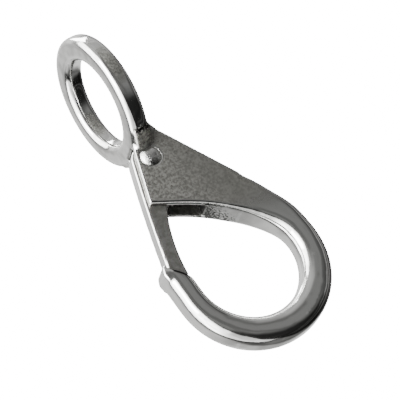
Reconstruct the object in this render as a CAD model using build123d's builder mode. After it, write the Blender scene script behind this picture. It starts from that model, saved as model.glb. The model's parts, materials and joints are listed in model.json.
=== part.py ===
"""Fixed-eye boat snap in cast stainless steel, with a sprung gate on a rivet.

Millimetres.  The origin is the centre of the eye and +Z runs up the line of
pull, so the hook hangs below the eye.  +X points to the back of the hook (its
spine), -X to the gate, and +Y runs through its thickness.  The eye is twisted a
quarter turn, so its hole runs along X while the hook lies flat in the XZ plane.
"""

from build123d import *
from math import asin, atan2, cos, hypot, radians, sin
import os

os.makedirs("parts", exist_ok=True)

# ---------------------------------------------------------------- eye
eye_bore_r = 12.0        # hole radius
eye_radial = 6.2         # ring section, across the ring
eye_axial = 5.4          # ring section, along the hole
eye_corner_r = 1.85      # rounding of the ring section

# ---------------------------------------------------------------- body plate
body_t = 9.2             # thickness of the hook, along Y
cheek_t = 1.8            # wall on each side of the gate slot
neck_x = 5.2             # back of the neck, just under the eye
neck_drop = 2.1          # neck corner, below the inner edge of the eye
neck_rise = 1.3          # top of the neck, inside the eye's ring, above that corner
neck_r = 2.6             # hollow between the eye and the spine
neck_inset = 0.27        # top of the neck, inside the back of the eye's ring
cheek_corner_r = 1.1     # rounding of the spine and of the lower cheek edge
cheek_below = 12.9       # length of the cheeks below the pivot, along the gate
cheek_top = 6.5          # length of the cheeks above the pivot, along the gate

# ---------------------------------------------------------------- hook bow
bow_r = 13.95            # inner radius of the hook's bowl
bow_x = 4.2              # centre of the bowl, behind the eye's centre
bow_drop = 36.3          # centre of the bowl, below the pivot
opening_high = (-0.48, 1.6)      # top of the opening under the cheeks, in bowl radii
opening_mid = (-0.065, 1.358)    # middle of its upper edge, in bowl radii
bar_w = 6.65             # width of the bar in the plane of the hook
bar_swell = 1.35         # how much the bar swells where it carries the load
swell_at = -63.0         # direction of the swelling, degrees
bar_corner_r = 3.6       # rounding of the bar round the bowl
bar_share = 0.46         # most of the bar's width that a corner may take
bar_proud = 0.04         # step where the bar leaves the cheeks
spine_w = 10.8           # width where the bar leaves the cheeks
nose_rise = 6.4          # middle of the gate's seat, above the bowl's centre
seat_in = 2.3            # middle of the seat, from the inner face of the nose
nose_round = 0.6         # rounding round the top of the nose
nose_share = 0.22        # most of the bar's rounding there that it may take
lip_w = 0.99             # slanted lip of the nose, outside the seat

# ---------------------------------------------------------------- pivot rivet
pivot_x = -0.2
pivot_drop = 9.4         # pivot, below the inner edge of the eye
rivet_r = 1.6            # shank
head_r = 2.75            # domed heads
head_h = 1.4             # height of a head above the floor of its recess
recess_gap = 0.4         # room round each head
recess_deep = 0.35       # depth of the recess in each cheek

# ---------------------------------------------------------------- gate
gate_head_r = 4.65       # gate's rounded end, about the pivot
proud_top = 1.15         # gate's face stands proud of the cheeks, at their top
proud_low = 0.55         # and at their low end
gate_bow = 0.3           # outward bow of the gate's face
gate_waist = 0.75        # back of the gate's narrow middle, from its centre line
waist_at = 0.68          # its place, as a share of the way from the pivot to the seat
gate_heel = -0.8         # back of the gate where the spring bears
seat_slope = 32.5        # slant of the seat to a square-cut tip, degrees
seat_out = 2.25          # middle of the seat, outward of the gate's centre line
gate_edge_r = 0.8        # rounding of the long edges of the gate's face
gate_tip_r = 0.5         # rounding round the tip
gate_side_gap = 0.2      # gap between the gate and each cheek
gate_bore_gap = 0.05     # running clearance on the rivet, on the radius
seat_gap = 0.15          # gap between the closed tip and the nose
head_gap = 0.35          # gap round the gate's rounded end

# ---------------------------------------------------------------- gate spring
wire_r = 0.33            # wire radius
spring_turns = 6.0
spring_along = 10.9      # spring's axis, from the pivot along the gate
pocket_wall = 0.3        # wall left in the gate beside the spring's blind hole
pocket_gap = 0.22        # gap round the spring in that hole
pocket_floor = 1.7       # floor of the hole, outward of the gate's centre line
slot_room = 0.86         # room above the spring at the far wall of the slot
spring_gap = 0.05        # gap at each end of the spring
slot_reach = 10.1        # far wall of the slot, behind the gate's centre line

# ---------------------------------------------------------------- worked out
slot_w = body_t - 2 * cheek_t
gate_t = slot_w - 2 * gate_side_gap
pocket_r = gate_t / 2 - pocket_wall
spring_r = pocket_r - pocket_gap - wire_r
pivot_z = -eye_bore_r - pivot_drop
bow_z = pivot_z - bow_drop
seat_x = bow_x - bow_r - seat_in
seat_z = bow_z + nose_rise
# The gate leans so that its centre line passes the seat at seat_out.
seat_dist = hypot(seat_x - pivot_x, seat_z - pivot_z)
seat_along = (seat_dist**2 - seat_out**2) ** 0.5
lean = atan2(pivot_x - seat_x, pivot_z - seat_z) - asin(seat_out / seat_dist)
slant = radians(seat_slope)
cheek_face_top = gate_head_r - proud_top
cheek_face_low = gate_head_r - proud_low

# Reach of the cuts past what they cut, along and across the gate.
slot_open = 3 * gate_head_r
slot_end = cheek_below + 6.0
slot_shoulder = spring_along - pocket_r - slot_room
seat_cut_out = 12.0
seat_cut_in = 5.0
seat_cut_high = 9.0
# Inner edge of the gate at its tip and just below the cheeks.
gate_toe = -0.2
waist_top = cheek_below + 1.4


def gate_point(along, out):
    """A point given along the gate from the pivot, and outward from its centre line."""
    x = pivot_x - along * sin(lean) - out * cos(lean)
    z = pivot_z - along * cos(lean) + out * sin(lean)
    return (x, z)


def seat_point(out, lift=0.0):
    """A point on the line of the seat, lifted off it towards the pivot."""
    along = seat_along - (out - seat_out) * sin(slant) / cos(slant)
    return gate_point(along - lift, out)


def bowl_point(fx, fz):
    """A point given in bowl radii from the centre of the bowl."""
    return (bow_x + fx * bow_r, bow_z + fz * bow_r)


def bar_section(inner, width, turn, corner):
    """One rounded section of the bar, from its inner edge outward at angle turn."""
    out = Vector(cos(radians(turn)), 0, sin(radians(turn)))
    middle = Vector(inner[0], 0, inner[1]) + out * (width / 2)
    along = Vector(0, 1, 0).cross(out)
    return Plane(origin=middle, x_dir=out, z_dir=along), width, corner


pivot_plane = Plane(origin=(pivot_x, 0, pivot_z), x_dir=(1, 0, 0), z_dir=(0, 1, 0))
pocket_point = gate_point(spring_along, pocket_floor)
spring_plane = Plane(
    origin=(pocket_point[0], 0, pocket_point[1]),
    x_dir=(0, 1, 0),
    z_dir=(cos(lean), 0, -sin(lean)),
)

# ---------------------------------------------------------------- bar stations
# Down the shoulder: place of the inner edge in bowl radii, how much narrower
# than the spine the bar is there, and direction outward.
shoulder = [
    (0.308, 1.075, 0.0, 38.8),
    (0.487, 0.903, 1.15, 36.0),
    (0.664, 0.710, 2.05, 32.7),
    (0.803, 0.523, 2.6, 26.0),
    (0.915, 0.334, 3.0, 17.5),
    (0.982, 0.151, 3.45, 8.5),
]
stations = []
for step, (fx, fz, taper, turn) in enumerate(shoulder):
    share = step / len(shoulder)
    corner = cheek_corner_r + share * (bar_corner_r - cheek_corner_r)
    stations.append(bar_section(bowl_point(fx, fz), spine_w - taper, turn, corner))
spine_inner = bowl_point(shoulder[0][0], shoulder[0][1])
spine_turn = radians(shoulder[0][3])
spine_out = (spine_inner[0] + spine_w * cos(spine_turn), spine_inner[1] + spine_w * sin(spine_turn))
for turn in range(0, -181, -30):
    width = bar_w + bar_swell * cos(radians(turn - swell_at))
    inner = bowl_point(cos(radians(turn)), sin(radians(turn)))
    stations.append(bar_section(inner, width, turn, min(bar_corner_r, bar_share * width)))
nose_station = stations[-1]
# Outer end of the seat, from the gate's centre line.
nose_lip = seat_out + nose_station[1] - seat_in - lip_w

# ---------------------------------------------------------------- body
with BuildPart() as body:
    # Cheeks and spine: one plate, from the neck to where the bar leaves it.
    with BuildSketch(Plane.XZ):
        with BuildLine():
            neck_z = -eye_bore_r - neck_drop
            neck = (neck_x, neck_z)
            top_right = (eye_axial / 2 - neck_inset, neck_z + neck_rise)
            front_top = gate_point(-cheek_top, cheek_face_top)
            front_low = gate_point(cheek_below, cheek_face_low)
            opening_top = bowl_point(*opening_high)
            Polyline(top_right, front_top, front_low, opening_top)
            ThreePointArc(opening_top, bowl_point(*opening_mid), spine_inner)
            Polyline(spine_inner, spine_out, neck)
            RadiusArc(neck, top_right, neck_r)
        make_face()
    extrude(amount=body_t / 2, both=True)
    long_edges = body.edges().filter_by(Axis.Y, reverse=True)
    flat = long_edges.filter_by(GeomType.LINE)
    spine_edges = flat.sort_by(SortBy.LENGTH)[-2:]
    low_arcs = long_edges.filter_by(GeomType.CIRCLE).sort_by(SortBy.LENGTH)[-2:]
    fillet(spine_edges, cheek_corner_r)
    fillet(low_arcs, cheek_corner_r)
    # The nose runs straight up from the end of the bowl.
    with BuildSketch(nose_station[0]):
        RectangleRounded(nose_station[1], body_t, nose_station[2])
    extrude(amount=nose_rise + seat_cut_high)
    # Seat for the tip of the gate, across the whole of the nose.
    with BuildSketch(Plane.XZ):
        with BuildLine():
            Polyline(
                seat_point(seat_cut_out, -seat_cut_out),
                seat_point(nose_lip),
                seat_point(-seat_cut_in),
                seat_point(-seat_cut_in, seat_cut_high),
                seat_point(seat_cut_out, seat_cut_high),
                close=True,
            )
        make_face()
    extrude(amount=body_t, both=True, mode=Mode.SUBTRACT)
    nose_tops = body.faces().filter_by(GeomType.PLANE).sort_by_distance((seat_x, 0, seat_z))[:2]
    fillet(nose_tops[0].edges() + nose_tops[1].edges(), min(nose_round, nose_share * nose_station[2]))
    # The bar of the hook, lofted from the cheeks round the bowl to the nose.
    # Its first section stands bar_proud outside the cheeks, so the two meet cleanly.
    for plane, width, corner in stations:
        proud = bar_proud if plane == stations[0][0] else 0
        with BuildSketch(plane):
            RectangleRounded(width + 2 * proud, body_t + 2 * proud, corner)
    loft()
    # The eye: a ring of rounded section about the X axis.
    with BuildSketch(Plane.XY):
        with Locations((0, eye_bore_r + eye_radial / 2)):
            RectangleRounded(eye_axial, eye_radial, eye_corner_r)
    revolve(axis=Axis.X)
    # Slot between the cheeks, open to the gate's side and into the bowl.
    with BuildSketch(Plane.XZ):
        with BuildLine():
            Polyline(
                gate_point(0, slot_open),
                gate_point(0, -gate_head_r - head_gap),
                gate_point(slot_shoulder, -slot_reach),
                gate_point(slot_end, -slot_reach),
                gate_point(slot_end, slot_open),
                close=True,
            )
        make_face()
        with Locations((pivot_x, pivot_z)):
            Circle(gate_head_r + head_gap)
    extrude(amount=slot_w / 2, both=True, mode=Mode.SUBTRACT)
    # Rivet hole, and a shallow recess for each head.
    with BuildSketch(pivot_plane):
        Circle(rivet_r)
    extrude(amount=body_t, both=True, mode=Mode.SUBTRACT)
    for side in (-1, 1):
        with BuildSketch(pivot_plane.offset(side * body_t / 2)):
            Circle(head_r + recess_gap)
        extrude(amount=-side * recess_deep, mode=Mode.SUBTRACT)

body.part.label = "body"
export_step(body.part, "parts/body.step")

# ---------------------------------------------------------------- gate
with BuildPart() as gate:
    with BuildSketch(Plane.XZ):
        with BuildLine():
            face_low = seat_point(gate_head_r, seat_gap)
            tip_low = seat_point(gate_toe, seat_gap)
            ThreePointArc(
                gate_point(0, gate_head_r),
                gate_point(seat_along / 2, gate_head_r + gate_bow),
                face_low,
            )
            Line(face_low, tip_low)
            ThreePointArc(
                tip_low,
                gate_point(waist_at * seat_along, gate_waist),
                gate_point(waist_top, gate_toe),
            )
            Polyline(
                gate_point(waist_top, gate_toe),
                gate_point(spring_along + pocket_r, gate_heel),
                gate_point(spring_along - pocket_r, gate_heel),
                gate_point(0, 0),
                gate_point(0, gate_head_r),
            )
        make_face()
        with Locations((pivot_x, pivot_z)):
            Circle(gate_head_r)
    extrude(amount=gate_t / 2, both=True)
    face_edges = gate.edges().filter_by(Axis.Y, reverse=True).filter_by(GeomType.CIRCLE)
    fillet(face_edges.group_by(SortBy.LENGTH)[-1], gate_edge_r)
    tip_middle = seat_point(seat_out, seat_gap)
    tip = gate.faces().filter_by(GeomType.PLANE).sort_by_distance((tip_middle[0], 0, tip_middle[1]))[0]
    fillet(tip.edges(), gate_tip_r)
    with BuildSketch(pivot_plane):
        Circle(rivet_r + gate_bore_gap)
    extrude(amount=body_t, both=True, mode=Mode.SUBTRACT)
    # Blind hole that holds the outer end of the spring.
    with BuildSketch(spring_plane):
        Circle(pocket_r)
    extrude(amount=slot_reach, mode=Mode.SUBTRACT)

gate.part.label = "gate"
export_step(gate.part, "parts/gate.step")

# ---------------------------------------------------------------- pivot rivet
with BuildPart() as pivot_rivet:
    floor = body_t / 2 - recess_deep
    dome_r = (head_r**2 + head_h**2) / (2 * head_h)
    half = asin(head_r / dome_r) / 2
    swell_y = floor + head_h - dome_r * (1 - cos(half))
    swell_z = pivot_z + dome_r * sin(half)
    with BuildSketch(Plane.YZ.offset(pivot_x)):
        with BuildLine():
            Line((-floor - head_h, pivot_z), (floor + head_h, pivot_z))
            ThreePointArc((floor + head_h, pivot_z), (swell_y, swell_z), (floor, pivot_z + head_r))
            Polyline(
                (floor, pivot_z + head_r),
                (floor, pivot_z + rivet_r),
                (-floor, pivot_z + rivet_r),
                (-floor, pivot_z + head_r),
            )
            ThreePointArc((-floor, pivot_z + head_r), (-swell_y, swell_z), (-floor - head_h, pivot_z))
        make_face()
    revolve(axis=Axis((pivot_x, 0, pivot_z), (0, 1, 0)))

pivot_rivet.part.label = "pivot_rivet"
export_step(pivot_rivet.part, "parts/pivot_rivet.step")

# ---------------------------------------------------------------- gate spring
with BuildPart() as gate_spring:
    coil_len = pocket_floor + slot_reach - 2 * (spring_gap + wire_r)
    start = spring_plane.offset(spring_gap + wire_r)
    with BuildLine():
        coil = Helix(
            pitch=coil_len / spring_turns,
            height=coil_len,
            radius=spring_r,
            center=start.origin,
            direction=start.z_dir,
        )
    with BuildSketch(Plane(origin=coil @ 0, z_dir=coil % 0)):
        Circle(wire_r)
    sweep(is_frenet=True)

gate_spring.part.label = "gate_spring"
export_step(gate_spring.part, "parts/gate_spring.step")
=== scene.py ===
"""Studio model of a fixed-eye boat snap: polished casting, sprung gate, rivet and coil spring."""

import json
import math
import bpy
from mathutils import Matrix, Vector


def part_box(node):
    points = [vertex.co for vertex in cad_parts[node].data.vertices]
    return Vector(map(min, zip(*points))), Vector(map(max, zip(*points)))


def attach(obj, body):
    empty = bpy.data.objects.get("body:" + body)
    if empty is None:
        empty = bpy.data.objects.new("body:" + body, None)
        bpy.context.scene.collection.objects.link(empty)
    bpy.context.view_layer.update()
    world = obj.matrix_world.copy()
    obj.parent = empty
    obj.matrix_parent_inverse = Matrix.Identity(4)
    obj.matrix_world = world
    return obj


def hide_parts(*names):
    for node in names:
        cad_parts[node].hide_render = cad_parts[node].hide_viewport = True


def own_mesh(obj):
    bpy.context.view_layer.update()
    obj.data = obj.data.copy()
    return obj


bl_info = {
    "name": "Boat Snap Studio",
    "version": (1, 0, 0),
    "blender": (4, 5, 0),
    "location": "3D View > Sidebar > Boat Snap",
    "description": "Builds the finished pieces of a sprung boat snap and its studio",
    "category": "Object",
}

import bmesh
import bpy
from bpy.props import FloatProperty, FloatVectorProperty, IntProperty, PointerProperty
from mathutils import Matrix, Vector

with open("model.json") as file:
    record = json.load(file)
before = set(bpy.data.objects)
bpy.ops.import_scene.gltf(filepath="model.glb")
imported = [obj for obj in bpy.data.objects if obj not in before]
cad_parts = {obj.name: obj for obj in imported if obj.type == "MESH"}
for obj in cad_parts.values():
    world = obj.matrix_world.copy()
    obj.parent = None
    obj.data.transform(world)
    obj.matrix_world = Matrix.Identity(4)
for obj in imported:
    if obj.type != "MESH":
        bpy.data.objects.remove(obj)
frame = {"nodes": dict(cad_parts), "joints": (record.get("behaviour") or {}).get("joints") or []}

MM = 0.001
JOINT = frame["joints"][0]
PIVOT = Vector(JOINT["pos_m"])
BODY_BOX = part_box("body")
SPRING_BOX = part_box("gate_spring")
RIVET_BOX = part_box("pivot_rivet")
# The closed gate leans out by this angle. The spring stands square to it, from the gate inward.
GATE_LEAN = math.radians(17.6)
INWARD = Vector((math.cos(GATE_LEAN), 0, -math.sin(GATE_LEAN)))
# Middle of the gate's seat in the nose, in millimetres, and the direction square to the seat.
SEAT_X, SEAT_Z = -12.05, -51.3
SEAT_ACROSS, SEAT_UP = 0.767, 0.642
# How steeply a polished place fades at its edge.
POLISH_FALL = 1.4
# Colours of the painted shade in the gate's joint and the creases, also used for the darker corners of
# the neck, and of the casting's worn edges, painted brighter as a highlight.
PAINTED_SHADE_AND_CORNER_DARK = (0.03, 0.03, 0.028)
EDGE_WEAR_HIGHLIGHT = (0.82, 0.82, 0.81)


# ---------------------------------------------------------------- settings
class BoatSnapSettings(bpy.types.PropertyGroup):
    """Sizes and colours that a user would change."""

    body_grain: FloatProperty(
        name="Body mesh size",
        description="Size of the faces that the casting is remeshed with",
        default=0.28 * MM,
        subtype="DISTANCE",
        unit="LENGTH",
    )
    gate_grain: FloatProperty(
        name="Gate mesh size",
        description="Size of the faces that the gate is remeshed with",
        default=0.16 * MM,
        subtype="DISTANCE",
        unit="LENGTH",
    )
    tumble: IntProperty(
        name="Tumbling",
        description="Rounds of smoothing that soften the edges, as tumbling does",
        default=14,
    )
    steel: FloatVectorProperty(
        name="Polished steel",
        description="Colour of the polished stainless steel",
        subtype="COLOR",
        default=(0.70, 0.70, 0.69),
    )
    olive: FloatVectorProperty(
        name="Satin steel",
        description="Colour of the mottled satin flats of the casting",
        subtype="COLOR",
        default=(0.38, 0.38, 0.352),
    )
    # This colour is near black. It is painted shade inside the slot, over the slot's rougher unpolished
    # skin, and the bowl's dark speckles take it too.
    slot_shade_and_specks: FloatVectorProperty(
        name="Raw casting",
        description="Colour of the unpolished skin inside the slot",
        subtype="COLOR",
        default=(0.06, 0.06, 0.057),
    )
    wire: FloatVectorProperty(
        name="Spring wire",
        description="Colour of the drawn spring wire",
        subtype="COLOR",
        default=(0.62, 0.61, 0.58),
    )
    coil_turns: IntProperty(
        name="Coil turns",
        description="Active turns of the gate spring",
        default=6,
    )
    wire_radius: FloatProperty(
        name="Wire radius",
        description="Radius of the spring wire",
        default=0.33 * MM,
        subtype="DISTANCE",
        unit="LENGTH",
    )
    floor_colour: FloatVectorProperty(
        name="Floor",
        description="Colour of the studio floor",
        subtype="COLOR",
        default=(0.82, 0.82, 0.81),
    )


def settings():
    """The settings of the open scene."""
    return bpy.context.scene.boat_snap


# ---------------------------------------------------------------- node helpers
def new_material(name):
    """An empty node material with its output and Principled BSDF."""
    material = bpy.data.materials.new(name)
    material.use_nodes = True
    nodes = material.node_tree.nodes
    shader = nodes["Principled BSDF"]
    shader.inputs["Metallic"].default_value = 1.0
    return material, nodes, material.node_tree.links, shader


def maths(nodes, links, operation, first, second=None, clamp=False):
    """A Math node; each operand is a socket or a number."""
    node = nodes.new("ShaderNodeMath")
    node.operation = operation
    node.use_clamp = clamp
    for slot, value in enumerate((first, second)):
        if value is None:
            continue
        if isinstance(value, (int, float)):
            node.inputs[slot].default_value = value
        else:
            links.new(value, node.inputs[slot])
    return node.outputs[0]


def overlap(nodes, links, first, *others):
    """The masks multiplied together: 1 only where all of them are."""
    for mask in others:
        first = maths(nodes, links, "MULTIPLY", first, mask)
    return first


def ramp(nodes, links, value, low, high, bottom=0.0, top=1.0):
    """Maps value from low..high to bottom..top, smoothly and clamped."""
    node = nodes.new("ShaderNodeMapRange")
    node.interpolation_type = "SMOOTHSTEP"
    node.inputs["From Min"].default_value = low
    node.inputs["From Max"].default_value = high
    node.inputs["To Min"].default_value = bottom
    node.inputs["To Max"].default_value = top
    links.new(value, node.inputs["Value"])
    return node.outputs["Result"]


def mix_colour(nodes, links, share, first, second):
    """A Mix node of two colours; each is a socket or a colour."""
    node = nodes.new("ShaderNodeMix")
    node.data_type = "RGBA"
    for name, value in (("A", first), ("B", second)):
        socket = [s for s in node.inputs if s.name == name and s.type == "RGBA"][0]
        if isinstance(value, (tuple, list)):
            socket.default_value = (*value[:3], 1)
        else:
            links.new(value, socket)
    links.new(share, node.inputs["Factor"])
    return [s for s in node.outputs if s.type == "RGBA"][0]


def noise(nodes, links, vector, scale, detail=4.0, roughness=0.55):
    """A Noise Texture's value, with features of about 1 / scale metres."""
    node = nodes.new("ShaderNodeTexNoise")
    node.inputs["Detail"].default_value = detail
    node.inputs["Roughness"].default_value = roughness
    if isinstance(scale, (int, float)):
        node.inputs["Scale"].default_value = scale
    else:
        links.new(scale, node.inputs["Scale"])
    links.new(vector, node.inputs["Vector"])
    return node.outputs["Fac"]


# ---------------------------------------------------------------- shared effects
def cast_skin_group():
    """Grain, mottling, pits and slow waves of a tumbled casting."""
    group = bpy.data.node_groups.new("Cast skin", "ShaderNodeTree")
    face = group.interface
    for name, value in (("Grain Scale", 2200.0), ("Mottle Scale", 1600.0), ("Pit Scale", 1500.0)):
        face.new_socket(name, in_out="INPUT", socket_type="NodeSocketFloat").default_value = value
    for name in ("Grain", "Mottle", "Pits", "Waves"):
        face.new_socket(name, in_out="OUTPUT", socket_type="NodeSocketFloat")
    nodes, links = group.nodes, group.links
    given = nodes.new("NodeGroupInput")
    result = nodes.new("NodeGroupOutput")
    where = nodes.new("ShaderNodeTexCoord").outputs["Object"]
    grain = noise(nodes, links, where, given.outputs["Grain Scale"], 5.0, 0.6)
    mottle = noise(nodes, links, where, given.outputs["Mottle Scale"], 6.0, 0.7)
    pits = noise(nodes, links, where, given.outputs["Pit Scale"], 2.0, 0.4)
    waves = noise(nodes, links, where, 190.0, 1.0, 0.4)
    links.new(waves, result.inputs["Waves"])
    links.new(grain, result.inputs["Grain"])
    links.new(ramp(nodes, links, mottle, 0.38, 0.62), result.inputs["Mottle"])
    links.new(ramp(nodes, links, pits, 0.66, 0.74), result.inputs["Pits"])
    return group


def edge_group():
    """Edge is 1 on a worn edge and 0 on a flat, and drives a painted highlight; Crease is 1 deep in a
    hollow, and drives painted shade.
    """
    group = bpy.data.node_groups.new("Edge highlight and crease shade", "ShaderNodeTree")
    face = group.interface
    face.new_socket("Start", in_out="INPUT", socket_type="NodeSocketFloat").default_value = 0.52
    face.new_socket("Full", in_out="INPUT", socket_type="NodeSocketFloat").default_value = 0.60
    for name in ("Edge", "Crease"):
        face.new_socket(name, in_out="OUTPUT", socket_type="NodeSocketFloat")
    nodes, links = group.nodes, group.links
    given = nodes.new("NodeGroupInput")
    result = nodes.new("NodeGroupOutput")
    point = nodes.new("ShaderNodeNewGeometry").outputs["Pointiness"]
    reach = maths(nodes, links, "SUBTRACT", given.outputs["Full"], given.outputs["Start"])
    over = maths(nodes, links, "SUBTRACT", point, given.outputs["Start"])
    links.new(maths(nodes, links, "DIVIDE", over, reach, clamp=True), result.inputs["Edge"])
    hollow = maths(nodes, links, "SUBTRACT", 0.5, point)
    depth_gain = 9.0
    crease = maths(nodes, links, "MULTIPLY", hollow, depth_gain, clamp=True)
    links.new(crease, result.inputs["Crease"])
    return group


def shared(name, make):
    """The node group of that name, made the first time it is asked for."""
    return bpy.data.node_groups.get(name) or make()


def place_group(nodes, group, **values):
    """Puts a node group in a material, with its own values for the named inputs."""
    node = nodes.new("ShaderNodeGroup")
    node.node_tree = group
    for name, value in values.items():
        node.inputs[name.replace("_", " ")].default_value = value
    return node


def bump(nodes, links, shader, height, distance, strength=1.0):
    """Feeds a height into the shader's normal."""
    node = nodes.new("ShaderNodeBump")
    node.inputs["Distance"].default_value = distance
    node.inputs["Strength"].default_value = strength
    links.new(height, node.inputs["Height"])
    links.new(node.outputs["Normal"], shader.inputs["Normal"])


# ---------------------------------------------------------------- materials
def flat_mask(nodes, links, start=0.93, full=0.99):
    """1 on the flats that face along Y, 0 on rounded and edge faces."""
    coords = nodes.new("ShaderNodeTexCoord")
    parts = nodes.new("ShaderNodeSeparateXYZ")
    links.new(coords.outputs["Normal"], parts.inputs[0])
    return ramp(nodes, links, maths(nodes, links, "ABSOLUTE", parts.outputs["Y"]), start, full)


def place_parts(nodes, links):
    """The object-space X, Y and Z of a point, in millimetres."""
    coords = nodes.new("ShaderNodeTexCoord")
    parts = nodes.new("ShaderNodeSeparateXYZ")
    links.new(coords.outputs["Object"], parts.inputs[0])
    return [maths(nodes, links, "DIVIDE", parts.outputs[axis], MM) for axis in "XYZ"]


def painted_gap_shade(nodes, links, x, z, low, high):
    """Painted shade along the gate's seat: 1 along it, and fading out between high and low millimetres
    off it.
    """
    across = maths(nodes, links, "MULTIPLY", maths(nodes, links, "ADD", x, -SEAT_X), SEAT_ACROSS)
    up = maths(nodes, links, "MULTIPLY", maths(nodes, links, "ADD", z, -SEAT_Z), SEAT_UP)
    height = maths(nodes, links, "ADD", across, up)
    return overlap(
        nodes,
        links,
        ramp(nodes, links, height, low, high),
        ramp(nodes, links, height, 0.6, 0.4),
        ramp(nodes, links, z, -48.0, -49.0),
        ramp(nodes, links, x, -13.9, -13.5),
        ramp(nodes, links, x, -9.0, -9.6),
    )


def slot_mask(nodes, links, off_middle, z):
    """1 on the unpolished walls of the slot between the cheeks, which are painted near black as shade."""
    return overlap(
        nodes,
        links,
        ramp(nodes, links, off_middle, 2.95, 2.7),
        ramp(nodes, links, z, -41.0, -39.0),
        ramp(nodes, links, z, -15.9, -16.6),
    )


def neck_mask(nodes, links, off_middle, x, z):
    """1 on the webs under the eye."""
    return overlap(
        nodes,
        links,
        ramp(nodes, links, z, -14.6, -15.2),
        ramp(nodes, links, off_middle, 9.9, 9.3),
        ramp(nodes, links, x, -2.3, -1.9),
        ramp(nodes, links, z, -20.0, -18.5),
    )


def speckle_mask(nodes, links, grain, off_middle, x, y, z):
    """Speckles where the slot's unpolished skin runs out, up to a slanting parting line in the bowl."""
    across = maths(nodes, links, "SUBTRACT", x, maths(nodes, links, "MULTIPLY", y, 0.75))
    fading = maths(nodes, links, "SUBTRACT", grain, ramp(nodes, links, across, 3.5, 10.4, 0.0, 0.2))
    return overlap(
        nodes,
        links,
        ramp(nodes, links, across, 10.4, 10.2),
        ramp(nodes, links, z, -45.4, -45.0),
        ramp(nodes, links, z, -38.5, -39.5),
        ramp(nodes, links, x, 3.0, 4.0),
        ramp(nodes, links, off_middle, 4.3, 4.0),
        ramp(nodes, links, fading, 0.33, 0.43),
    )


def dark_corner_speckle(nodes, links, grain, off_middle, x, z):
    """Darker speckled patches in the corner between each web and the eye's rim."""
    return overlap(
        nodes,
        links,
        ramp(nodes, links, off_middle, 8.5, 9.0),
        ramp(nodes, links, off_middle, 9.9, 9.5),
        ramp(nodes, links, z, -15.0, -15.3),
        ramp(nodes, links, grain, 0.42, 0.52),
        ramp(nodes, links, x, -2.4, -2.0),
    )


def cast_steel():
    """Polished casting with satin, mottled flats, and an unpolished skin inside the slot that is painted
    near black as shade.
    """
    s = settings()
    material, nodes, links, shader = new_material("polished_cast_steel")
    skin = place_group(nodes, shared("Cast skin", cast_skin_group))
    edge = place_group(nodes, shared("Edge highlight and crease shade", edge_group), Start=0.515, Full=0.58)
    grain, mottle, pits = skin.outputs["Grain"], skin.outputs["Mottle"], skin.outputs["Pits"]
    x, y, z = place_parts(nodes, links)
    off_middle = maths(nodes, links, "ABSOLUTE", y)
    # The cheeks' flats fade into the polished bar, and the webs keep the same satin skin.
    cheeks = overlap(nodes, links, flat_mask(nodes, links), ramp(nodes, links, z, -52, -40))
    flats = maths(nodes, links, "MAXIMUM", cheeks, neck_mask(nodes, links, off_middle, x, z))
    slot = slot_mask(nodes, links, off_middle, z)
    # The flats' light mottle is painted stronger beside the gate than along the spine, a painted sheen on
    # the side of the left light.
    mottled = overlap(nodes, links, mottle, flats, ramp(nodes, links, x, 14, -3, 0.2, 1.0))
    specks = overlap(nodes, links, pits, flats, 0.6)
    speckle = speckle_mask(nodes, links, grain, off_middle, x, y, z)
    colour = mix_colour(nodes, links, flats, tuple(s.steel), tuple(s.olive))
    colour = mix_colour(nodes, links, speckle, colour, tuple(s.slot_shade_and_specks))
    colour = mix_colour(nodes, links, mottled, colour, (0.66, 0.66, 0.62))
    colour = mix_colour(nodes, links, specks, colour, (0.20, 0.20, 0.19))
    # Painted shade: the slot's walls are painted near black.
    colour = mix_colour(nodes, links, slot, colour, tuple(s.slot_shade_and_specks))
    # Worn edges are painted brighter, as a painted highlight.
    colour = mix_colour(nodes, links, edge.outputs["Edge"], colour, EDGE_WEAR_HIGHLIGHT)
    # Painted shade darkens the creases and the joint under the gate's tip, and the neck's corners are
    # darkened with speckles.
    shade_and_dark_corners = maths(nodes, links, "MULTIPLY", edge.outputs["Crease"], 0.7)
    for place in (
        painted_gap_shade(nodes, links, x, z, -0.95, -0.7),
        dark_corner_speckle(nodes, links, grain, off_middle, x, z),
    ):
        shade_and_dark_corners = maths(nodes, links, "MAXIMUM", shade_and_dark_corners, place)
    colour = mix_colour(nodes, links, shade_and_dark_corners, colour, PAINTED_SHADE_AND_CORNER_DARK)
    links.new(colour, shader.inputs["Base Color"])
    finish = nodes.new("ShaderNodeMix")
    links.new(flats, finish.inputs["Factor"])
    links.new(ramp(nodes, links, grain, 0.3, 0.7, 0.08, 0.15), finish.inputs[2])
    links.new(ramp(nodes, links, mottle, 0.0, 1.0, 0.36, 0.44), finish.inputs[3])
    rougher = maths(nodes, links, "MULTIPLY", slot, 0.35)
    rough = maths(nodes, links, "ADD", finish.outputs[0], rougher, clamp=True)
    links.new(rough, shader.inputs["Roughness"])
    # Fine grain on the flats, pits in the slot, and slow waves where the round parts were polished.
    fine = overlap(nodes, links, grain, ramp(nodes, links, flats, 0, 1, 0.12, 1.0))
    pitted = overlap(nodes, links, pits, slot, -4.0)
    waves = overlap(nodes, links, skin.outputs["Waves"], ramp(nodes, links, flats, 0, 1, 11.0, 2.0))
    height = maths(nodes, links, "ADD", maths(nodes, links, "ADD", fine, pitted), waves)
    bump(nodes, links, shader, height, 0.02 * MM)
    return material


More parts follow.
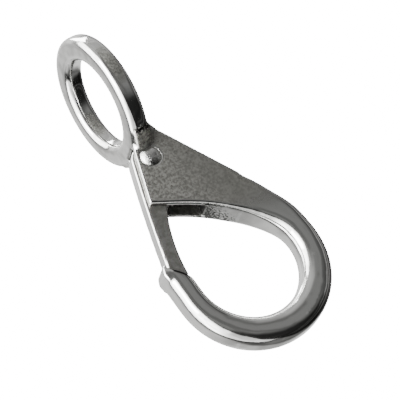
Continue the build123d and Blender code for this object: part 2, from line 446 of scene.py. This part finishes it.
def gate_steel():
    """Polished face and satin sides of the gate."""
    s = settings()
    material, nodes, links, shader = new_material("polished_gate_steel")
    skin = place_group(
        nodes, shared("Cast skin", cast_skin_group), Grain_Scale=3000.0, Mottle_Scale=520.0
    )
    edge = place_group(nodes, shared("Edge highlight and crease shade", edge_group), Start=0.52, Full=0.60)
    sides = flat_mask(nodes, links)
    mottled = overlap(nodes, links, skin.outputs["Mottle"], sides)
    x, _, z = place_parts(nodes, links)
    # Painted shade darkens the gate's tip face along the seat.
    tip_painted_shade = painted_gap_shade(nodes, links, x, z, 0.5, 0.25)
    colour = mix_colour(nodes, links, sides, tuple(s.steel), tuple(s.olive))
    colour = mix_colour(nodes, links, mottled, colour, (0.50, 0.50, 0.48))
    # Worn edges of the gate are painted brighter, as a painted highlight.
    colour = mix_colour(nodes, links, edge.outputs["Edge"], colour, (0.84, 0.84, 0.83))
    colour = mix_colour(nodes, links, tip_painted_shade, colour, PAINTED_SHADE_AND_CORNER_DARK)
    links.new(colour, shader.inputs["Base Color"])
    links.new(ramp(nodes, links, sides, 0, 1, 0.13, 0.30), shader.inputs["Roughness"])
    fine = overlap(nodes, links, skin.outputs["Grain"], ramp(nodes, links, sides, 0, 1, 0.15, 0.8))
    bump(nodes, links, shader, fine, 0.02 * MM)
    return material


def rivet_steel():
    """Bright rivet heads with the fine rings of a spun closing tool."""
    s = settings()
    material, nodes, links, shader = new_material("spun_rivet_steel")
    skin = place_group(nodes, shared("Cast skin", cast_skin_group), Mottle_Scale=900.0)
    x, _, z = place_parts(nodes, links)
    dx = maths(nodes, links, "SUBTRACT", x, PIVOT.x / MM)
    dz = maths(nodes, links, "SUBTRACT", z, PIVOT.z / MM)
    dx_square = maths(nodes, links, "POWER", dx, 2.0)
    dz_square = maths(nodes, links, "POWER", dz, 2.0)
    radius = maths(nodes, links, "SQRT", maths(nodes, links, "ADD", dx_square, dz_square))
    rings = maths(nodes, links, "SINE", maths(nodes, links, "MULTIPLY", radius, 22.0))
    colour = mix_colour(nodes, links, skin.outputs["Mottle"], tuple(s.steel), (0.80, 0.80, 0.79))
    links.new(colour, shader.inputs["Base Color"])
    links.new(ramp(nodes, links, skin.outputs["Mottle"], 0, 1, 0.08, 0.17), shader.inputs["Roughness"])
    lumps = maths(nodes, links, "MULTIPLY", skin.outputs["Mottle"], 3.0)
    spun = maths(nodes, links, "MULTIPLY", rings, 0.4)
    bump(nodes, links, shader, maths(nodes, links, "ADD", spun, lumps), 0.012 * MM)
    return material


def spring_steel():
    """Drawn wire with a fine grain."""
    s = settings()
    material, nodes, links, shader = new_material("drawn_spring_wire")
    skin = place_group(
        nodes, shared("Cast skin", cast_skin_group), Grain_Scale=5200.0, Mottle_Scale=1500.0
    )
    colour = mix_colour(nodes, links, skin.outputs["Mottle"], tuple(s.wire), (0.42, 0.41, 0.39))
    links.new(colour, shader.inputs["Base Color"])
    links.new(ramp(nodes, links, skin.outputs["Grain"], 0.3, 0.7, 0.18, 0.34), shader.inputs["Roughness"])
    bump(nodes, links, shader, skin.outputs["Grain"], 0.01 * MM)
    return material


# ---------------------------------------------------------------- mesh helpers
def link_mesh(name, mesh, material):
    """A shown object with that mesh and material, shaded smooth."""
    for face in mesh.polygons:
        face.use_smooth = True
    mesh.materials.clear()
    mesh.materials.append(material)
    made = bpy.data.objects.new(name, mesh)
    bpy.context.scene.collection.objects.link(made)
    return made


def gate_point(along, out, y=0.0):
    """A point along the gate from the pivot and outward from its centre line, all in millimetres."""
    across = INWARD * -out * MM
    down = Vector((-math.sin(GATE_LEAN), 0, -math.cos(GATE_LEAN))) * along * MM
    return PIVOT + across + down + Vector((0, y * MM, 0))


def prism(low, high):
    """A closed solid between two outlines with as many points each."""
    bm = bmesh.new()
    ends = [[bm.verts.new(place) for place in outline] for outline in (low, high)]
    bm.faces.new(ends[0])
    bm.faces.new(ends[1])
    for point in range(len(low)):
        after = (point + 1) % len(low)
        bm.faces.new((ends[0][point], ends[0][after], ends[1][after], ends[1][point]))
    bmesh.ops.recalc_face_normals(bm, faces=bm.faces)
    mesh = bpy.data.meshes.new("prism")
    bm.to_mesh(mesh)
    bm.free()
    return mesh


def fused(name, meshes, grain, rounds, material, polished=()):
    """One closed skin round overlapping closed meshes, with tumbled edges.

    polished holds (centre, reach, rounds): places that are rounded further by hand.
    """
    bm = bmesh.new()
    for mesh in meshes:
        bm.from_mesh(mesh)
    joined = bpy.data.meshes.new(name + "_source")
    bm.to_mesh(joined)
    bm.free()
    source = bpy.data.objects.new(name + "_source", joined)
    bpy.context.scene.collection.objects.link(source)
    remesh = source.modifiers.new("skin", "REMESH")
    remesh.mode = "VOXEL"
    remesh.voxel_size = grain
    smooth = source.modifiers.new("tumble", "SMOOTH")
    smooth.factor = 0.5
    smooth.iterations = rounds
    bpy.context.view_layer.update()
    ready = source.evaluated_get(bpy.context.evaluated_depsgraph_get())
    mesh = bpy.data.meshes.new_from_object(ready)
    mesh.name = name
    bpy.data.objects.remove(source)
    made = link_mesh(name, mesh, material)
    for number, (centre, reach, more) in enumerate(polished):
        group = made.vertex_groups.new(name="polish_%d" % number)
        for vertex in mesh.vertices:
            share = POLISH_FALL * (1 - (vertex.co - Vector(centre)).length / reach)
            if share > 0:
                group.add([vertex.index], min(share, 1.0), "REPLACE")
        local = made.modifiers.new("polish_%d" % number, "SMOOTH")
        local.factor = 0.5
        local.iterations = more
        local.vertex_group = group.name
    return made


def coil_mesh(name, start, axis, length, mean_r, wire_r, turns):
    """A compression coil with closed end turns, from start along axis."""
    side = Vector((0, 1, 0))
    other = axis.cross(side)
    steps_per_turn, around, closed = 40, 14, 1.0
    steps = int((turns + 2 * closed) * steps_per_turn)
    tight = 2.1 * wire_r
    pitch = (length - 2 * wire_r - 2 * closed * tight) / turns

    def rise(turn):
        """Distance along the axis after that many turns."""
        if turn < closed:
            return tight * turn
        if turn > closed + turns:
            return tight * closed + pitch * turns + tight * (turn - closed - turns)
        return tight * closed + pitch * (turn - closed)

    def centre(step):
        """Centre of the wire at that step."""
        turn = step / steps_per_turn
        angle = turn * 2 * math.pi
        outward = side * math.cos(angle) + other * math.sin(angle)
        return start + axis * (wire_r + rise(turn)) + outward * mean_r

    bm = bmesh.new()
    rings = []
    for step in range(steps + 1):
        here = centre(step)
        along = (centre(step + 0.5) - centre(step - 0.5)).normalized()
        out = (here - start) - axis * (here - start).dot(axis)
        out = (out - along * out.dot(along)).normalized()
        up = along.cross(out)
        ring = []
        for point in range(around):
            angle = 2 * math.pi * point / around
            ring.append(bm.verts.new(here + wire_r * (out * math.cos(angle) + up * math.sin(angle))))
        rings.append(ring)
    for first, second in zip(rings, rings[1:]):
        for point in range(around):
            after = (point + 1) % around
            bm.faces.new((first[point], second[point], second[after], first[after]))
    bm.faces.new(list(reversed(rings[0])))
    bm.faces.new(rings[-1])
    bmesh.ops.recalc_face_normals(bm, faces=bm.faces)
    mesh = bpy.data.meshes.new(name)
    bm.to_mesh(mesh)
    bm.free()
    return mesh


def turned_mesh(name, profile, centre, around=64):
    """A closed solid turned about an axis along Y through centre.

    profile runs from end to end as (y, radius) pairs, and starts and ends on the axis.
    """
    bm = bmesh.new()
    rings = []
    for y, radius in profile:
        if radius < 1e-7:
            rings.append([bm.verts.new((centre.x, y, centre.z))])
            continue
        ring = []
        for point in range(around):
            angle = 2 * math.pi * point / around
            across, up = radius * math.cos(angle), radius * math.sin(angle)
            ring.append(bm.verts.new((centre.x + across, y, centre.z + up)))
        rings.append(ring)
    for first, second in zip(rings, rings[1:]):
        for point in range(around):
            after = (point + 1) % around
            corners = [
                first[point % len(first)],
                first[after % len(first)],
                second[after % len(second)],
                second[point % len(second)],
            ]
            bm.faces.new(list(dict.fromkeys(corners)))
    bmesh.ops.recalc_face_normals(bm, faces=bm.faces)
    mesh = bpy.data.meshes.new(name)
    bm.to_mesh(mesh)
    bm.free()
    return mesh


# ---------------------------------------------------------------- operators
class SNAP_OT_body(bpy.types.Operator):
    """Skins the casting: eye, neck, cheeks, bar and nose in one tumbled, polished piece"""

    bl_idname = "boat_snap.body"
    bl_label = "Cast body"

    def execute(self, context):
        s = settings()
        casting = frame["nodes"]["body"].data
        # A web on each side of the neck runs from the eye's rim down to the cheek. Each outline
        # holds (y, z) in millimetres, and the web narrows towards the spine.
        webs = []
        for side in (-1, 1):
            full = ((3.0, -18.8), (4.6, -18.8), (9.3, -15.9), (9.3, -14.5), (3.0, -14.5))
            back = ((3.0, -19.0), (4.6, -19.0), (4.9, -15.2), (4.9, -14.6), (3.0, -14.6))
            ends = []
            for x, corners in ((-2.1, full), (2.4, full), (5.4, back)):
                ends.append([Vector((x, side * y, z)) * MM for y, z in corners])
            webs += [prism(ends[0], ends[1]), prism(ends[1], ends[2])]
        # A lip on the nose stands up outside the gate's tip, as (along, out) in millimetres.
        crest = ((32.0, 4.95), (29.5, 4.95), (29.2, 5.5), (29.9, 6.25), (32.0, 6.45), (34.0, 5.5))
        lip_half = 3.9
        lip = prism(*[[gate_point(along, out, y) for along, out in crest] for y in (-lip_half, lip_half)])
        # The nose and the back of each web are polished rounder than the rest.
        hand_rounds = 30
        polished = [(gate_point(30.5, 6.4), 7.0 * MM, hand_rounds)]
        for side in (-1, 1):
            polished.append((Vector((5.4, side * 7.0, -15.4)) * MM, 4.6 * MM, hand_rounds))
        piece = fused("snap_body", [casting, *webs, lip], s.body_grain, s.tumble, cast_steel(), polished)
        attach(piece, "hook")
        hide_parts("body")
        return {"FINISHED"}


class SNAP_OT_gate(bpy.types.Operator):
    """Skins the gate with softened edges and a polished face"""

    bl_idname = "boat_snap.gate"
    bl_label = "Gate"

    def execute(self, context):
        s = settings()
        lever = frame["nodes"]["gate"].data
        piece = fused("snap_gate", [lever], s.gate_grain, s.tumble // 2, gate_steel())
        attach(piece, "gate")
        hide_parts("gate")
        return {"FINISHED"}


class SNAP_OT_rivet(bpy.types.Operator):
    """Turns the pivot rivet with its two domed, spun heads"""

    bl_idname = "boat_snap.rivet"
    bl_label = "Pivot rivet"

    def execute(self, context):
        half = RIVET_BOX[1].y
        head_r = (RIVET_BOX[1].x - RIVET_BOX[0].x) / 2
        head_h = 1.4 * MM
        shank_r = 1.6 * MM
        under = half - head_h
        # A round dome with a small rolled rim.
        ball_r = (head_r**2 + head_h**2) / (2 * head_h)
        sweep = math.asin((head_r - 0.1 * MM) / ball_r)
        steps, rim = 14, 0.08 * MM
        dome = []
        for step in range(steps + 1):
            angle = sweep * step / steps
            dome.append((half - ball_r * (1 - math.cos(angle)), ball_r * math.sin(angle)))
        dome.append((under + rim, head_r))
        dome.append((under, head_r - 0.05 * MM))
        side = dome + [(under, shank_r), (0, shank_r)]
        profile = side + [(-y, radius) for y, radius in reversed(side[:-1])]
        piece = link_mesh("snap_rivet", turned_mesh("snap_rivet", profile, PIVOT), rivet_steel())
        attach(piece, "hook")
        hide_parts("pivot_rivet")
        return {"FINISHED"}


class SNAP_OT_spring(bpy.types.Operator):
    """Winds the gate spring and fixes it to the hook"""

    bl_idname = "boat_snap.spring"
    bl_label = "Gate spring"

    def execute(self, context):
        s = settings()
        low, high = SPRING_BOX
        outer_r = (high.y - low.y) / 2
        middle = (low + high) / 2
        span = (high.x - low.x - 2 * outer_r * math.sin(GATE_LEAN)) / math.cos(GATE_LEAN)
        start = middle - INWARD * span / 2
        mesh = coil_mesh(
            "snap_spring", start, INWARD, span, outer_r - s.wire_radius, s.wire_radius, s.coil_turns
        )
        piece = link_mesh("snap_spring", mesh, spring_steel())
        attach(piece, "hook")
        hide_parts("gate_spring")
        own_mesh(piece)
        return {"FINISHED"}


class SNAP_OT_stage(bpy.types.Operator):
    """Sets the floor, the soft studio light and the camera"""

    bl_idname = "boat_snap.stage"
    bl_label = "Studio"

    def execute(self, context):
        self.floor()
        self.world()
        self.lights()
        self.camera()
        return {"FINISHED"}

    def floor(self):
        """A pale floor well below the hanging snap."""
        s = settings()
        size, height = 3.0, -0.36
        mesh = bpy.data.meshes.new("studio_floor")
        plan = ((-size, -size), (size, -size), (size, size), (-size, size))
        mesh.from_pydata([(x, y, height) for x, y in plan], [], [(0, 1, 2, 3)])
        material, _, _, shader = new_material("studio_floor")
        shader.inputs["Metallic"].default_value = 0.0
        shader.inputs["Base Color"].default_value = (*s.floor_colour, 1)
        shader.inputs["Roughness"].default_value = 0.7
        floor = bpy.data.objects.new("studio_floor", mesh)
        mesh.materials.append(material)
        bpy.context.scene.collection.objects.link(floor)
        floor.visible_glossy = False

    def world(self):
        """A studio that is pale behind the snap, brightest at its left and dark at its right."""
        world = bpy.data.worlds.new("studio")
        world.use_nodes = True
        nodes, links = world.node_tree.nodes, world.node_tree.links
        nodes.clear()
        parts = nodes.new("ShaderNodeSeparateXYZ")
        direction = nodes.new("ShaderNodeTexCoord").outputs["Generated"]
        links.new(direction, parts.inputs[0])
        x, y, z = parts.outputs["X"], parts.outputs["Y"], parts.outputs["Z"]
        turn = maths(nodes, links, "ARCTAN2", x, y)
        turn = maths(nodes, links, "ADD", maths(nodes, links, "DIVIDE", turn, 2 * math.pi), 0.5)
        # Light level all round, by degrees from straight behind the snap; its left is at -90.
        round_it = (
            (-180, 0.23), (-140, 0.25), (-130, 10.0), (-62, 12.0), (-56, 0.13),
            (-46, 0.13), (-39, 0.85), (0, 1.25), (36, 1.1), (50, 0.12),
            (80, 0.05), (86, 0.45), (91, 0.45), (96, 0.06), (103, 0.1),
            (109, 0.5), (115, 0.12), (124, 0.08), (146, 0.23), (180, 0.23),
        )
        brightest = max(level for _, level in round_it)
        bands = nodes.new("ShaderNodeValToRGB")
        links.new(turn, bands.inputs["Fac"])
        stops = bands.color_ramp.elements
        while len(stops) < len(round_it):
            stops.new(0.5)
        for stop, (degrees, level) in zip(stops, round_it):
            stop.position = degrees / 360 + 0.5
            stop.color = (level / brightest, level / brightest, level / brightest, 1)
        down = ramp(nodes, links, z, -0.22, -0.7, brightest, 1.9)
        top = ramp(nodes, links, z, 0.35, 0.85, 0.0, 0.5)
        level = maths(nodes, links, "MULTIPLY", bands.outputs["Color"], down)
        # Soft darker and lighter patches break up the reflections, as in a real room.
        cards = noise(nodes, links, direction, 2.6, 1.0, 0.4)
        patches = ramp(nodes, links, cards, 0.42, 0.60, 0.72, 1.15)
        level = maths(nodes, links, "MULTIPLY", level, patches)
        level = maths(nodes, links, "ADD", level, top)
        studio = nodes.new("ShaderNodeBackground")
        studio.inputs["Color"].default_value = (1.0, 1.0, 0.985, 1)
        links.new(level, studio.inputs["Strength"])
        white = nodes.new("ShaderNodeBackground")
        white.inputs["Strength"].default_value = 21.0
        chosen = nodes.new("ShaderNodeMixShader")
        links.new(nodes.new("ShaderNodeLightPath").outputs["Is Camera Ray"], chosen.inputs[0])
        links.new(studio.outputs[0], chosen.inputs[1])
        links.new(white.outputs[0], chosen.inputs[2])
        output = nodes.new("ShaderNodeOutputWorld")
        links.new(chosen.outputs[0], output.inputs["Surface"])
        bpy.context.scene.world = world

    def lights(self):
        """Large soft boxes round the snap."""
        middle = (BODY_BOX[0] + BODY_BOX[1]) / 2
        # Name, place from the snap's middle, width, height and watts.
        boxes = (
            ("left_box", (-0.75, -0.28, 0.22), 0.35, 0.55, 9.0),
            ("top_box", (0.1, 0.15, 0.85), 0.45, 0.3, 7.0),
        )
        for name, place, width, height, watts in boxes:
            lamp = bpy.data.lights.new(name, "AREA")
            lamp.shape = "RECTANGLE"
            lamp.size, lamp.size_y, lamp.energy = width, height, watts
            made = bpy.data.objects.new(name, lamp)
            made.location = middle + Vector(place)
            made.rotation_mode = "QUATERNION"
            made.rotation_quaternion = (-Vector(place)).to_track_quat("-Z", "Y")
            bpy.context.scene.collection.objects.link(made)

    def camera(self):
        """Looks up at the snap from its lower left, rolled so the hook hangs to the right."""
        azimuth, elevation, roll = math.radians(-25.6), math.radians(-16.83), math.radians(-36.9)
        target, distance = Vector((0.0089, 0.0071, -0.0341)), 0.386
        flat = math.cos(elevation)
        back = Vector((math.sin(azimuth) * flat, -math.cos(azimuth) * flat, math.sin(elevation)))
        lens = bpy.data.cameras.new("camera")
        lens.lens, lens.sensor_width = 135.0, 36.0
        lens.clip_start, lens.clip_end = 0.01, 20.0
        made = bpy.data.objects.new("camera", lens)
        made.rotation_mode = "QUATERNION"
        turn = (-back).to_track_quat("-Z", "Y").to_matrix() @ Matrix.Rotation(roll, 3, "Z")
        made.rotation_quaternion = turn.to_quaternion()
        made.location = target + back * distance
        bpy.context.scene.collection.objects.link(made)
        bpy.context.scene.camera = made


class SNAP_PT_panel(bpy.types.Panel):
    """Lists the steps in the sidebar"""

    bl_label = "Boat Snap"
    bl_idname = "SNAP_PT_panel"
    bl_space_type = "VIEW_3D"
    bl_region_type = "UI"
    bl_category = "Boat Snap"

    def draw(self, context):
        for name in BoatSnapSettings.__annotations__:
            self.layout.prop(context.scene.boat_snap, name)
        for operator in OPERATORS:
            self.layout.operator(operator.bl_idname)


OPERATORS = (SNAP_OT_body, SNAP_OT_gate, SNAP_OT_rivet, SNAP_OT_spring, SNAP_OT_stage)
CLASSES = (BoatSnapSettings, *OPERATORS, SNAP_PT_panel)


def register():
    for each in CLASSES:
        bpy.utils.register_class(each)
    bpy.types.Scene.boat_snap = PointerProperty(type=BoatSnapSettings)


def unregister():
    del bpy.types.Scene.boat_snap
    for each in reversed(CLASSES):
        bpy.utils.unregister_class(each)


def main():
    """Builds the pieces in order."""
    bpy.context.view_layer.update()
    register()
    bpy.ops.boat_snap.body()
    bpy.ops.boat_snap.gate()
    bpy.ops.boat_snap.rivet()
    bpy.ops.boat_snap.spring()
    bpy.ops.boat_snap.stage()


if __name__ == "__main__":
    main()
